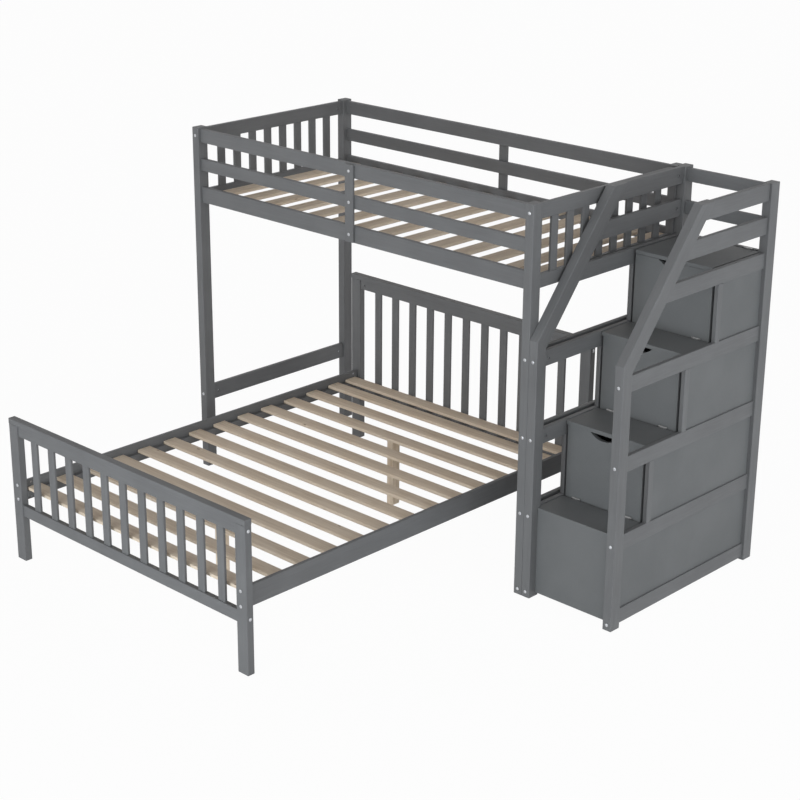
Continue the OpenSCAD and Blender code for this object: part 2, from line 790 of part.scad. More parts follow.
module finger_cutout(top) {
    r = (cutout_w * cutout_w / 4 + cutout_d * cutout_d) / (2 * cutout_d);
    translate([stair_w / 2 - cutout_shift, -1, top + r - cutout_d]) rotate([-90, 0, 0])
        cylinder(r = r, h = riser_t + 2, $fn = 96);
}

module stair_risers() {
    color(paint) placed() on_stair() for (k = [1:4]) {
        bottom = k == 1 ? base_gap + 4 : floor_z(k - 1);
        translate([0, riser_y(k), 0]) difference() {
            translate([stair_post_w, 0, bottom]) cube([box_w, riser_t, riser_top(k) - bottom]);
            if (k > 1) finger_cutout(lid_under(k));
        }
    }
}

module box_side_boards() {
    color(paint) placed() on_stair() for (k = [1:4]) for (x = [stair_post_w, stair_w - box_in]) {
        y = riser_y(k) + riser_t;
        translate([x, y, floor_z(k)]) cube([side_board_t, hinge_face_y(k) - y, riser_top(k) - floor_z(k)]);
    }
}

module box_floors() {
    color(paint) placed() on_stair() for (k = [1:4]) {
        y = riser_y(k) + riser_t;
        translate([box_in, y, floor_z(k)]) cube([stair_w - 2 * box_in, box_back_y(k) - y, floor_t]);
    }
}

// Under each floor, from the side rails to under the boards, then under each lid and behind each riser
module box_cleats() {
    floor_cleat_w = box_in + cleat - rail_in;
    color(paint) placed() on_stair() for (k = [1:4]) {
        y = riser_y(k) + riser_t;
        floor_top = floor_z(k) + floor_t;
        ledge = lid_under(k) - cleat;
        for (x = [rail_in, stair_w - rail_in - floor_cleat_w]) translate([x, y, floor_z(k) - cleat])
            cube([floor_cleat_w, min(box_back_y(k), stair_back_y) - y, cleat]);
        for (x = [box_in, stair_w - box_in - cleat]) {
            translate([x, y, ledge]) cube([cleat, lid_back_y(k) - 1 - y, cleat]);
            translate([x, y, floor_top]) cube([cleat, cleat, ledge - floor_top]);
        }
    }
}

// The platform's lid lies between the posts; the step lids reach to the rails, the first one round its posts
module lid(k) {
    x = k == 4 ? lid_x : rail_in + lid_rail_gap;
    y = riser_y(k) - lid_over;
    notch = [lid_x - x + 1, stair_post_d + lid_side_gap - y + 1, lid_t + 2];
    color(paint) placed() on_stair() difference() {
        translate([x, y, lid_under(k)]) timber_lid(stair_w - 2 * x, lid_back_y(k) - y, lid_t);
        if (k == 1) for (notch_x = [x - 1, stair_w - lid_x])
            translate([notch_x, y - 1, lid_under(k) - 1]) cube(notch);
    }
}

// A board whose front edge is eased
module timber_lid(w, d, t) {
    side = [[0, 0], [d, 0], [d, t], [ease, t], [ease * 0.29, t - ease * 0.29], [0, t - ease]];
    multmatrix([[0, 0, 1, 0], [1, 0, 0, 0], [0, 1, 0, 0]]) linear_extrude(w) polygon(side);
}

module step_lid_1() { lid(1); }
module step_lid_2() { lid(2); }
module step_lid_3() { lid(3); }
module platform_lid() { lid(4); }

// Hinges, drawn with the pin along X through the origin and the lid towards -Y

knuckle = hinge_l / 4;

module at_hinges(k) {
    for (s = [-1, 1]) translate([stair_w / 2 + s * hinge_spread / 2, hinge_y(k), hinge_z(k)]) children();
}

module barrel(x0, x1) {
    translate([x0, 0, 0]) rotate([0, 90, 0]) cylinder(r = hinge_r, h = x1 - x0);
}

module pin_bore() {
    translate([-hinge_l, 0, 0]) rotate([0, 90, 0]) cylinder(r = pin_r + pin_clear, h = 2 * hinge_l);
}

module moving_leaf() {
    x = knuckle - run_clear;
    neck = hinge_r + run_clear;
    difference() {
        union() {
            barrel(-x, x);
            translate([-x, -hinge_gap / 2, -neck - eps]) cube([2 * x, leaf_t, neck + eps]);
            translate([-hinge_l / 2, -hinge_gap / 2, -leaf_h]) cube([hinge_l, leaf_t, leaf_h - neck]);
        }
        pin_bore();
    }
}

module fixed_leaf() {
    neck = hinge_r + run_clear;
    difference() {
        union() {
            for (x = [-hinge_l / 2, knuckle]) {
                barrel(x, x + knuckle);
                translate([x, hinge_gap / 2 - leaf_t, -neck - eps]) cube([knuckle, leaf_t, neck + eps]);
            }
            translate([-hinge_l / 2, hinge_gap / 2 - leaf_t, -leaf_h]) cube([hinge_l, leaf_t, leaf_h - neck]);
        }
        pin_bore();
    }
}

module moving_leaves(k) { color(zinc) placed() on_stair() at_hinges(k) moving_leaf(); }
module moving_leaves_1() { moving_leaves(1); }
module moving_leaves_2() { moving_leaves(2); }
module moving_leaves_3() { moving_leaves(3); }
module moving_leaves_4() { moving_leaves(4); }
module fixed_leaves() { color(zinc) placed() on_stair() for (k = [1:4]) at_hinges(k) fixed_leaf(); }

module hinge_pins() {
    head = 1;
    l = hinge_l / 2;
    color(zinc) placed() on_stair() for (k = [1:4]) at_hinges(k) rotate([0, 90, 0]) rotate_extrude()
        polygon([[0, -l - head], [pin_r, -l - head], [pin_r + 0.8, -l], [pin_r, -l],
            [pin_r, l], [pin_r + 0.8, l], [pin_r, l + head], [0, l + head]]);
}

// All the bolts, and the nuts in the rails

module bed_bolts() {
    color(zinc) placed() {
        at_y_bolts(loft_bolts, loft_d) rail_bolt(post_d);
        at_strut_bolts() bolt(strut_bolt_l);
        at_connectors() bolt(connector_l);
        on_stair() at_front_bolts(stair_bolts(level_bolts)) rail_bolt(stair_post_d);
        on_stair() at_back_bolts(stair_bolts(stair_back_bolts), stair_d) rail_bolt(stair_post_d);
        on_bed() at_y_bolts(bed_bolts_rows, bed_l) rail_bolt(leg_d);
        for (head = [false, true]) at_board(head)
            at_board_bolts([for (row = board_rows(head ? head_h : foot_h)) mid(row)]) rail_bolt(leg_w);
    }
}

module steel_nuts() {
    color(zinc) placed() {
        at_y_bolts(loft_bolts, loft_d) barrel_nut(post_d + nut_inset);
        on_stair() at_front_bolts(stair_bolts(level_bolts)) barrel_nut(stair_post_d + nut_inset);
        on_stair() at_back_bolts(stair_bolts(stair_back_bolts), stair_d) barrel_nut(stair_post_d + nut_inset);
        on_bed() at_y_bolts(bed_bolts_rows, bed_l) barrel_nut(leg_d + nut_inset);
        for (head = [false, true]) at_board(head)
            at_board_bolts([for (row = board_rows(head ? head_h : foot_h)) mid(row)])
                rotate([0, 0, 90]) barrel_nut(leg_w + nut_inset);
    }
}

loft_post_front_left();
loft_post_front_right();
loft_post_back_left();
loft_post_back_right();
front_top_guard_rail();
front_mid_guard_rail();
front_side_rail();
back_top_guard_rail();
back_mid_guard_rail();
back_side_rail();
front_guard_strut();
back_guard_strut();
left_end_rails();
left_end_slats();
right_end_rails();
right_end_slats();
slat_ledgers();
loft_slats();
headboard_posts();
headboard_cap();
headboard_rails();
headboard_slats();
footboard_legs();
footboard_cap();
footboard_rails();
footboard_slats();
bed_side_rail_left();
bed_side_rail_right();
bed_slats();
centre_legs();
stair_post_front_left();
stair_post_front_right();
stair_back_posts();
left_handrail();
right_handrail();
stair_guard_rails();
left_stair_rails();
right_stair_rails();
stair_stiles();
stair_side_panels();
stair_back_rails();
stair_back_panel();
stair_risers();
box_side_boards();
box_floors();
box_cleats();
step_lid_1();
step_lid_2();
step_lid_3();
platform_lid();
moving_leaves_1();
moving_leaves_2();
moving_leaves_3();
moving_leaves_4();
fixed_leaves();
hinge_pins();
bed_bolts();
steel_nuts();
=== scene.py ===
import math

import bpy
from mathutils import Matrix, Vector


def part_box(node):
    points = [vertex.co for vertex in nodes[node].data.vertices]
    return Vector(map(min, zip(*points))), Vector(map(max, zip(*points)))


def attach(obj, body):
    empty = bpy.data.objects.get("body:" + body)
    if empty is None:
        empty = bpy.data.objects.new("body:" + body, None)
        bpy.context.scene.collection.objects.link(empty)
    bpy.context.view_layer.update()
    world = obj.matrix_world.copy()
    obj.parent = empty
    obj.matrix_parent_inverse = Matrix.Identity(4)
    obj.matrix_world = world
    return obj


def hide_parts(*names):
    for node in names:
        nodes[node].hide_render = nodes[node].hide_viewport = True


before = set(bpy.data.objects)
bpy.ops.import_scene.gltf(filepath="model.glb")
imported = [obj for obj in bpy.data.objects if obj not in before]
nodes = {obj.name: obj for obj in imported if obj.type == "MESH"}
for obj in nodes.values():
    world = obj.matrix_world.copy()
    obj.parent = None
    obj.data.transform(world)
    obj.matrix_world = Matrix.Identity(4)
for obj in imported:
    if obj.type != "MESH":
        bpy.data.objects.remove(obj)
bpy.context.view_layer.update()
print("frame loaded:", len(nodes), "nodes")

scene = bpy.context.scene
mm = 0.001


# the photo's camera, worked out from the bed's own straight edges
cameraSettings = {
    "place": (5.0110, -5.0401, 3.3350),
    "yaw": 44.08,  # degrees, turned left from looking along +Y
    "pitch": 20.07,  # degrees, looking down
    "roll": 0.278,
    "lens": 81.41,
    "shift": (0.0151, -0.0152),
}


def makeCamera(settings):
    data = bpy.data.cameras.new("photoCamera")
    data.sensor_width = 36
    data.lens = settings["lens"]
    data.shift_x, data.shift_y = settings["shift"]
    data.clip_start = 0.1
    data.clip_end = 100
    camera = bpy.data.objects.new("photoCamera", data)
    turn = (Matrix.Rotation(math.radians(settings["yaw"]), 4, "Z")
            @ Matrix.Rotation(math.radians(90 - settings["pitch"]), 4, "X")
            @ Matrix.Rotation(math.radians(settings["roll"]), 4, "Z"))
    camera.matrix_world = Matrix.Translation(settings["place"]) @ turn
    scene.collection.objects.link(camera)
    scene.camera = camera


makeCamera(cameraSettings)
print("camera made")


# a socket that takes part in plain arithmetic
class Value:
    def __init__(self, shading, socket):
        self.shading = shading
        self.socket = socket

    def math(self, operation, first, second):
        return self.shading.add("ShaderNodeMath", {"operation": operation}, {0: first, 1: second})

    def __add__(self, other):
        return self.math("ADD", self, other)

    def __radd__(self, other):
        return self.math("ADD", other, self)

    def __sub__(self, other):
        return self.math("SUBTRACT", self, other)

    def __rsub__(self, other):
        return self.math("SUBTRACT", other, self)

    def __mul__(self, other):
        return self.math("MULTIPLY", self, other)

    def __rmul__(self, other):
        return self.math("MULTIPLY", other, self)


# the node tree of a material or of the world, with one way to add any node
class Shading:
    def __init__(self, owner):
        self.owner = owner
        owner.use_nodes = True
        self.nodes = owner.node_tree.nodes
        self.links = owner.node_tree.links
        self.nodes.clear()

    def add(self, kind, settings=None, inputs=None, output=0):
        node = self.nodes.new(kind)
        for key, value in (settings or {}).items():
            setattr(node, key, value)
        for key, value in (inputs or {}).items():
            self.feed(node.inputs[key], value)
        return Value(self, node.outputs[output]) if node.outputs else None

    def feed(self, socket, value):
        if isinstance(value, Value):
            self.links.new(value.socket, socket)
        elif hasattr(value, "__len__") and len(value) < len(socket.default_value):
            socket.default_value = (*value, 1)
        else:
            socket.default_value = value

    def place(self, scale=(1, 1, 1), slope=0.0):
        spot = self.add("ShaderNodeTexCoord", output="Object")
        if slope:
            spot = self.add("ShaderNodeVectorRotate", {"rotation_type": "X_AXIS"},
                            {"Vector": spot, "Angle": math.radians(-slope)})
        return self.add("ShaderNodeMapping", {}, {"Vector": spot, "Scale": scale})

    def noise(self, spot, scale, detail=2.0, rough=0.5, distortion=0.0):
        return self.add("ShaderNodeTexNoise", {"noise_dimensions": "3D"}, {
            "Vector": spot, "Scale": scale, "Detail": detail, "Roughness": rough,
            "Distortion": distortion})

    def spread(self, value, low, high, toLow=0.0, toHigh=1.0):
        return self.add("ShaderNodeMapRange", {"interpolation_type": "SMOOTHSTEP"}, {
            "Value": value, "From Min": low, "From Max": high, "To Min": toLow, "To Max": toHigh})

    def blend(self, share, first, second):
        return self.add("ShaderNodeMix", {"data_type": "RGBA"}, {0: share, 6: first, 7: second}, 2)

    def bump(self, height, strength, distance):
        return self.add("ShaderNodeBump", {}, {
            "Height": height, "Strength": strength, "Distance": distance})

    # 1 on the outer edges, where hands and sanding reach
    def edges(self, radius):
        rounded = self.add("ShaderNodeBevel", {"samples": 4}, {"Radius": radius})
        plain = self.add("ShaderNodeNewGeometry", output="Normal")
        same = self.add("ShaderNodeVectorMath", {"operation": "DOT_PRODUCT"},
                        {0: rounded, 1: plain}, "Value")
        return self.spread(1 - same, 0.02, 0.25)

    # 1 for the camera, and for metal and glass that mirror the studio
    def seenDirectly(self):
        camera, glossy, through = (self.add("ShaderNodeLightPath", output=key)
                                   for key in ("Is Camera Ray", "Is Glossy Ray", "Is Transmission Ray"))
        return camera.math("MAXIMUM", camera, glossy.math("MAXIMUM", glossy, through))

    def finish(self, inputs):
        shader = self.add("ShaderNodeBsdfPrincipled", {}, inputs)
        self.add("ShaderNodeOutputMaterial", {}, {"Surface": shader})
        return self.owner


def newFinish(name):
    return Shading(bpy.data.materials.new(name))


# the grain runs about twenty times as long along the piece as across it
grainScales = {"x": (0.05, 1, 1), "y": (1, 0.05, 1), "z": (1, 1, 0.05)}

paintLook = {
    "colour": (0.1675, 0.172, 0.176),
    "shade": (0.139, 0.142, 0.146),
    "worn": (0.225, 0.232, 0.238),
    "roughness": 0.5,
    "shine": 0.35,
    "fibreScale": 230,
    "ringScale": 26,
    "mottleScale": 4.5,
    "peelScale": 650,
    "wearScale": 38,
    "wearShare": 0.5,
    "grainBump": 0.16,
    "grainDepth": 0.6 * mm,
    "wearWidth": 4 * mm,
}


# brushed satin paint through which the pine's grain telegraphs
def paintedPine(name, direction, slope=0.0):
    paint = newFinish(name)
    along = paint.place(grainScales[direction], slope)
    plain = paint.place()
    fibres = paint.noise(along, paintLook["fibreScale"], 4, 0.6)
    rings = paint.noise(along, paintLook["ringScale"], 3, 0.55, 0.8)
    mottle = paint.noise(plain, paintLook["mottleScale"], 3, 0.5)
    peel = paint.noise(plain, paintLook["peelScale"], 1, 0.5)
    figure = paint.spread(rings, 0.38, 0.62)
    tone = (paint.spread(mottle, 0.3, 0.7) * 0.45 + paint.spread(fibres, 0.35, 0.65) * 0.3
            + figure * 0.25)
    patches = paint.noise(plain, paintLook["wearScale"], 4, 0.6)
    rubbed = paint.edges(paintLook["wearWidth"]) * paint.spread(patches, 0.48, 0.72)
    colour = paint.blend(tone, paintLook["shade"], paintLook["colour"])
    return paint.finish({
        "Base Color": paint.blend(rubbed * paintLook["wearShare"], colour, paintLook["worn"]),
        "Roughness": paintLook["roughness"] + (1 - tone) * 0.1 + rubbed * 0.1,
        "Specular IOR Level": paintLook["shine"],
        "Normal": paint.bump(fibres * 0.45 + figure * 0.35 + peel * 0.2, paintLook["grainBump"],
                             paintLook["grainDepth"]),
    })


boardLook = {
    "colour": (0.162, 0.169, 0.172),
    "shade": (0.139, 0.146, 0.149),
    "roughness": 0.54,
    "shine": 0.3,
    "cloudScale": 3.2,
    "rollerScale": 260,
    "speckScale": 1400,
    "wearScale": 30,
    "peelBump": 0.1,
    "peelDepth": 0.4 * mm,
}


# rolled paint on board: no grain, a fine orange peel and a soft cloud of tone
def paintedBoard(name):
    paint = newFinish(name)
    plain = paint.place()
    cloud = paint.noise(plain, boardLook["cloudScale"], 4, 0.55)
    roller = paint.noise(plain, boardLook["rollerScale"], 3, 0.6)
    speck = paint.noise(plain, boardLook["speckScale"], 1, 0.5)
    tone = paint.spread(cloud, 0.3, 0.7) * 0.75 + paint.spread(roller, 0.35, 0.65) * 0.25
    patches = paint.noise(plain, boardLook["wearScale"], 4, 0.6)
    rubbed = paint.edges(paintLook["wearWidth"]) * paint.spread(patches, 0.46, 0.7)
    colour = paint.blend(tone, boardLook["shade"], boardLook["colour"])
    return paint.finish({
        "Base Color": paint.blend(rubbed * paintLook["wearShare"], colour, paintLook["worn"]),
        "Roughness": boardLook["roughness"] + (1 - tone) * 0.08,
        "Specular IOR Level": boardLook["shine"],
        "Normal": paint.bump(roller * 0.7 + speck * 0.3, boardLook["peelBump"], boardLook["peelDepth"]),
    })


pineLook = {
    "early": (0.905, 0.765, 0.595),
    "late": (0.700, 0.560, 0.410),
    "pale": (0.930, 0.825, 0.690),
    "dull": (0.760, 0.645, 0.510),
    "knot": (0.300, 0.190, 0.115),
    "roughness": 0.66,
    "shine": 0.3,
    "ringScale": 55,
    "fibreScale": 420,
    "cloudScale": 7,
    "knotScale": 8.5,
    "knotReach": (0.05, 0.02),  # where a knot begins and where it is full
    "grainBump": 0.15,
    "grainDepth": 0.6 * mm,
}


# sanded bare pine with rings, fibres and a few small knots
def barePine(name, direction, toned=False):
    wood = newFinish(name)
    along = wood.place(grainScales[direction])
    plain = wood.place()
    knotSpot = wood.place(tuple(0.45 if share < 1 else 1 for share in grainScales[direction]))
    rings = wood.noise(along, pineLook["ringScale"], 3, 0.55, 0.9)
    fibres = wood.noise(along, pineLook["fibreScale"], 3, 0.6)
    cloud = wood.noise(plain, pineLook["cloudScale"], 2, 0.5)
    cells = wood.add("ShaderNodeTexVoronoi", {"feature": "F1", "distance": "EUCLIDEAN"},
                     {"Vector": knotSpot, "Scale": pineLook["knotScale"]}, "Distance")
    knot = wood.spread(cells, *pineLook["knotReach"])
    figure = wood.spread(rings, 0.36, 0.66)
    colour = wood.blend(figure, pineLook["early"], pineLook["late"])
    colour = wood.blend(wood.spread(fibres, 0.3, 0.7) * 0.35, colour, pineLook["pale"])
    colour = wood.blend(wood.spread(cloud, 0.35, 0.7) * 0.4, colour, pineLook["pale"])
    if toned:
        tone = wood.add("ShaderNodeAttribute", {"attribute_name": "tone"}, output="Fac")
        colour = wood.blend(tone * 0.45, colour, pineLook["dull"])
    return wood.finish({
        "Base Color": wood.blend(knot * 0.8, colour, pineLook["knot"]),
        "Roughness": pineLook["roughness"] + figure * 0.08,
        "Specular IOR Level": pineLook["shine"],
        "Normal": wood.bump(fibres * 0.5 + figure * 0.4 + knot * 0.3, pineLook["grainBump"],
                            pineLook["grainDepth"]),
    })


scratchBump = 0.11
scratchDepth = 0.2 * mm
platingScale = 110
metalLooks = {
    "zinc": {"bright": (0.62, 0.63, 0.65), "dull": (0.44, 0.45, 0.47), "roughness": 0.28,
             "stretch": (1, 1, 6), "scratches": 700},
    "hinge": {"bright": (0.50, 0.50, 0.50), "dull": (0.36, 0.355, 0.35), "roughness": 0.34,
              "stretch": (0.08, 1, 1), "scratches": 900},
}


# plated steel: cloudy plating with fine scratches
def platedSteel(name, look):
    metal = newFinish(name)
    cloud = metal.spread(metal.noise(metal.place(), platingScale, 4, 0.6), 0.35, 0.7)
    scratch = metal.noise(metal.place(look["stretch"]), look["scratches"], 3, 0.6)
    return metal.finish({
        "Base Color": metal.blend(cloud, look["bright"], look["dull"]),
        "Metallic": 1.0,
        "Roughness": look["roughness"] + cloud * 0.08 + metal.spread(scratch, 0.3, 0.7) * 0.1,
        "Normal": metal.bump(scratch, scratchBump, scratchDepth),
    })


handrailSlope = 50.7  # degrees
finishes = {
    "paintX": paintedPine("paintedPineX", "x"),
    "paintY": paintedPine("paintedPineY", "y"),
    "paintZ": paintedPine("paintedPineZ", "z"),
    "paintSlope": paintedPine("paintedPineSlope", "y", handrailSlope),
    "board": paintedBoard("paintedBoard"),
    "slatX": barePine("slatPineX", "x", True),
    "slatY": barePine("slatPineY", "y", True),
    "pineZ": barePine("barePineZ", "z"),
    "zinc": platedSteel("zincSteel", metalLooks["zinc"]),
    "hinge": platedSteel("hingeSteel", metalLooks["hinge"]),
}
finishOf = {
    "loft_post_front_left": "paintZ", "loft_post_front_right": "paintZ",
    "loft_post_back_left": "paintZ", "loft_post_back_right": "paintZ",
    "front_top_guard_rail": "paintX", "front_mid_guard_rail": "paintX", "front_side_rail": "paintX",
    "back_top_guard_rail": "paintX", "back_mid_guard_rail": "paintX", "back_side_rail": "paintX",
    "front_guard_strut": "paintZ", "back_guard_strut": "paintZ",
    "left_end_rails": "paintY", "left_end_slats": "paintZ",
    "right_end_rails": "paintY", "right_end_slats": "paintZ", "slat_ledgers": "paintX",
    "headboard_posts": "paintZ", "headboard_cap": "paintX", "headboard_rails": "paintX",
    "headboard_slats": "paintZ", "footboard_legs": "paintZ", "footboard_cap": "paintX",
    "footboard_rails": "paintX", "footboard_slats": "paintZ",
    "bed_side_rail_left": "paintY", "bed_side_rail_right": "paintY",
    "centre_legs": "pineZ",
    "stair_post_front_left": "paintZ", "stair_post_front_right": "paintZ", "stair_back_posts": "paintZ",
    "left_handrail": "paintSlope", "right_handrail": "paintSlope", "stair_guard_rails": "paintY",
    "left_stair_rails": "paintY", "right_stair_rails": "paintY", "stair_stiles": "paintZ",
    "stair_side_panels": "board", "stair_back_rails": "paintX", "stair_back_panel": "board",
    "stair_risers": "board", "box_side_boards": "board", "box_floors": "board", "box_cleats": "paintY",
    "step_lid_1": "board", "step_lid_2": "board", "step_lid_3": "board", "platform_lid": "board",
    "moving_leaves_1": "hinge", "moving_leaves_2": "hinge", "moving_leaves_3": "hinge",
    "moving_leaves_4": "hinge", "fixed_leaves": "hinge", "hinge_pins": "hinge",
    "bed_bolts": "zinc", "steel_nuts": "zinc",
    "loft_slats": "slatY", "bed_slats": "slatX",
}
for name, kind in finishOf.items():
    nodes[name].data.materials.clear()
    nodes[name].data.materials.append(finishes[kind])
print("finishes given to", len(finishOf), "nodes")


# a Geometry Nodes tree with named inputs and one way to add any node
class Tree:
    def __init__(self, name, sizes):
        self.group = bpy.data.node_groups.new(name, "GeometryNodeTree")
        self.group.interface.new_socket("Geometry", in_out="OUTPUT", socket_type="NodeSocketGeometry")
        self.group.interface.new_socket("Geometry", in_out="INPUT", socket_type="NodeSocketGeometry")
        self.sizes = sizes
        self.sockets = {}
        for key, value in sizes.items():
            kind = "NodeSocketInt" if isinstance(value, int) else "NodeSocketFloat"
            socket = self.group.interface.new_socket(key, in_out="INPUT", socket_type=kind)
            self.sockets[key] = socket.identifier
        self.inputs = self.group.nodes.new("NodeGroupInput")
        self.outputs = self.group.nodes.new("NodeGroupOutput")

    def size(self, key):
        return self.inputs.outputs[key]

    def add(self, kind, settings=None, inputs=None, output=0):
        node = self.group.nodes.new(kind)
        for key, value in (settings or {}).items():
            setattr(node, key, value)
        for key, value in (inputs or {}).items():
            if isinstance(value, bpy.types.NodeSocket):
                self.group.links.new(value, node.inputs[key])
            else:
                node.inputs[key].default_value = value
        return node.outputs[output]

    def math(self, operation, first, second):
        return self.add("ShaderNodeMath", {"operation": operation}, {0: first, 1: second})

    def vector(self, x=0.0, y=0.0, z=0.0):
        return self.add("ShaderNodeCombineXYZ", {}, {0: x, 1: y, 2: z})

    def random(self, low, high):
        return self.add("FunctionNodeRandomValue", {"data_type": "FLOAT"},
                        {2: low, 3: high, "Seed": self.size("Seed")}, 1)

    # grows the tree's geometry on the given points and returns it as a plain piece
    def make(self, pieceName, geometry, finish, points=()):
        real = self.add("GeometryNodeRealizeInstances", {}, {0: geometry})
        painted = self.add("GeometryNodeSetMaterial", {}, {0: real, "Material": finish})
        self.group.links.new(painted, self.outputs.inputs[0])
        seedMesh = bpy.data.meshes.new(pieceName + "Points")
        seedMesh.from_pydata(points, [], [])
        holder = bpy.data.objects.new(pieceName + "Points", seedMesh)
        scene.collection.objects.link(holder)
        modifier = holder.modifiers.new("made", "NODES")
        modifier.node_group = self.group
        for key, value in self.sizes.items():
            modifier[self.sockets[key]] = value
        bpy.context.view_layer.update()
        seen = holder.evaluated_get(bpy.context.evaluated_depsgraph_get())
        piece = bpy.data.objects.new(pieceName, bpy.data.meshes.new_from_object(seen))
        scene.collection.objects.link(piece)
        bpy.data.objects.remove(holder)
        return piece


slatSettings = {
    "count": 14,  # the last one is set by the bed's far end
    "width": 68 * mm,
    "edgeRadius": 2.2 * mm,
    "play": 0.5 * mm,
    "loftPitch": 142 * mm,
    "bedPitch": 146.5 * mm,
}


# where the slats' near edges lie across the bed, from the first slat's
def slatEdges(node, across, pitch):
    low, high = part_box(node)
    regular = [low[across] + i * pitch for i in range(slatSettings["count"] - 1)]
    return regular + [high[across] - slatSettings["width"]]


# planed slats with rounded edges, each with its own tone and a hair of play
def makeSlats(pieceName, node, across, pitch, seed):
    low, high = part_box(node)
    along = 1 - across
    tree = Tree(pieceName, {
        "Width": slatSettings["width"], "Thickness": high.z - low.z, "Length": high[along] - low[along],
        "Edge radius": slatSettings["edgeRadius"], "Play": slatSettings["play"],
        "Turn": math.radians(-90 * across), "Seed": seed,
    })
    shape = tree.add("GeometryNodeCurvePrimitiveQuadrilateral", {"mode": "RECTANGLE"},
                     {"Width": tree.size("Width"), "Height": tree.size("Thickness")})
    shape = tree.add("GeometryNodeFilletCurve", {"mode": "POLY"},
                     {"Curve": shape, "Count": 3, "Radius": tree.size("Edge radius")})
    half = tree.math("MULTIPLY", tree.size("Length"), 0.5)
    run = tree.add("GeometryNodeCurvePrimitiveLine", {"mode": "POINTS"}, {
        "Start": tree.vector(0.0, tree.math("MULTIPLY", half, -1.0), 0.0),
        "End": tree.vector(0.0, half, 0.0)})
    slat = tree.add("GeometryNodeCurveToMesh", {},
                    {"Curve": run, "Profile Curve": shape, "Fill Caps": True})
    slide = tree.random(tree.math("MULTIPLY", tree.size("Play"), -1.0), tree.size("Play"))
    copies = tree.add("GeometryNodeInstanceOnPoints", {}, {
        "Points": tree.inputs.outputs[0], "Instance": slat,
        "Rotation": tree.vector(0.0, 0.0, tree.size("Turn"))})
    copies = tree.add("GeometryNodeTranslateInstances", {},
                      {"Instances": copies, "Translation": tree.vector(0.0, slide, 0.0)})
    copies = tree.add("GeometryNodeStoreNamedAttribute", {"data_type": "FLOAT", "domain": "INSTANCE"},
                      {"Geometry": copies, "Name": "tone", "Value": tree.random(0.0, 1.0)})
    points = []
    for edge in slatEdges(node, across, pitch):
        point = (low + high) / 2
        point[across] = edge + slatSettings["width"] / 2
        points.append(point)
    slats = tree.make(pieceName, copies, finishes["slatX" if across else "slatY"], points)
    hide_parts(node)
    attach(slats, "frame")


makeSlats("loftSlats", "loft_slats", 0, slatSettings["loftPitch"], 7)
makeSlats("bedSlats", "bed_slats", 1, slatSettings["bedPitch"], 11)
print("slats made")


screwSettings = {
    "headHeight": 0.7 * mm,
    "proud": 0.25 * mm,
    "sides": 20,
    "topShare": 0.84,  # the head's top against its rim
    "recessLift": 0.8,  # the recess's middle against the head's height
    "crossShare": 1.25,  # the recess's length against the head's radius
    "slotShare": 0.3,
    "hingeHead": 2.6 * mm,
    "hingeInset": 8 * mm,
    "hingeRise": 5.6 * mm,  # above the leaf's lower edge
    "slatHead": 3.2 * mm,
    "slatInset": 12 * mm,
}


# countersunk cross-head screws, each turned as it happened to end up
def makeScrews(pieceName, points, headRadius, tilt, body, finish, seed):
    tree = Tree(pieceName, {
        "Head radius": headRadius, "Head height": screwSettings["headHeight"],
        "Proud": screwSettings["proud"],
        "Tilt": math.radians(tilt), "Seed": seed,
    })
    height = tree.size("Head height")
    head = tree.add("GeometryNodeMeshCone", {}, {
        "Vertices": screwSettings["sides"],
        "Radius Top": tree.math("MULTIPLY", tree.size("Head radius"), screwSettings["topShare"]),
        "Radius Bottom": tree.size("Head radius"), "Depth": height})
    arm = tree.math("MULTIPLY", tree.size("Head radius"), screwSettings["crossShare"])
    slit = tree.math("MULTIPLY", tree.size("Head radius"), screwSettings["slotShare"])
    across = tree.add("GeometryNodeMeshCube", {}, {"Size": tree.vector(arm, slit, height)})
    along = tree.add("GeometryNodeMeshCube", {}, {"Size": tree.vector(slit, arm, height)})
    cross = tree.add("GeometryNodeMeshBoolean", {"operation": "UNION"}, {1: across})
    tree.group.links.new(along, cross.node.inputs[1])
    lift = tree.math("MULTIPLY", height, screwSettings["recessLift"])
    cross = tree.add("GeometryNodeTransform", {}, {
        "Geometry": cross, "Translation": tree.vector(0.0, 0.0, lift)})
    head = tree.add("GeometryNodeMeshBoolean", {"operation": "DIFFERENCE"}, {0: head, 1: cross})
    drop = tree.math("SUBTRACT", tree.size("Proud"), height)
    head = tree.add("GeometryNodeTransform", {}, {
        "Geometry": head, "Translation": tree.vector(0.0, 0.0, drop)})
    copies = tree.add("GeometryNodeInstanceOnPoints", {}, {
        "Points": tree.inputs.outputs[0], "Instance": head,
        "Rotation": tree.vector(tree.size("Tilt"), 0.0, 0.0)})
    copies = tree.add("GeometryNodeRotateInstances", {}, {
        "Instances": copies, "Rotation": tree.vector(0.0, 0.0, tree.random(0.0, math.pi)),
        "Local Space": True})
    screws = tree.make(pieceName, copies, finishes[finish], points)
    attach(screws, body)


# two screws in each leaf of a lid's two hinges, below the barrel
def hingeScrewSpots(low, high, leafLength, face):
    inset = screwSettings["hingeInset"]
    starts = (low.x + inset, low.x + leafLength - inset, high.x - leafLength + inset, high.x - inset)
    return [(x, face, low.z + screwSettings["hingeRise"]) for x in starts]


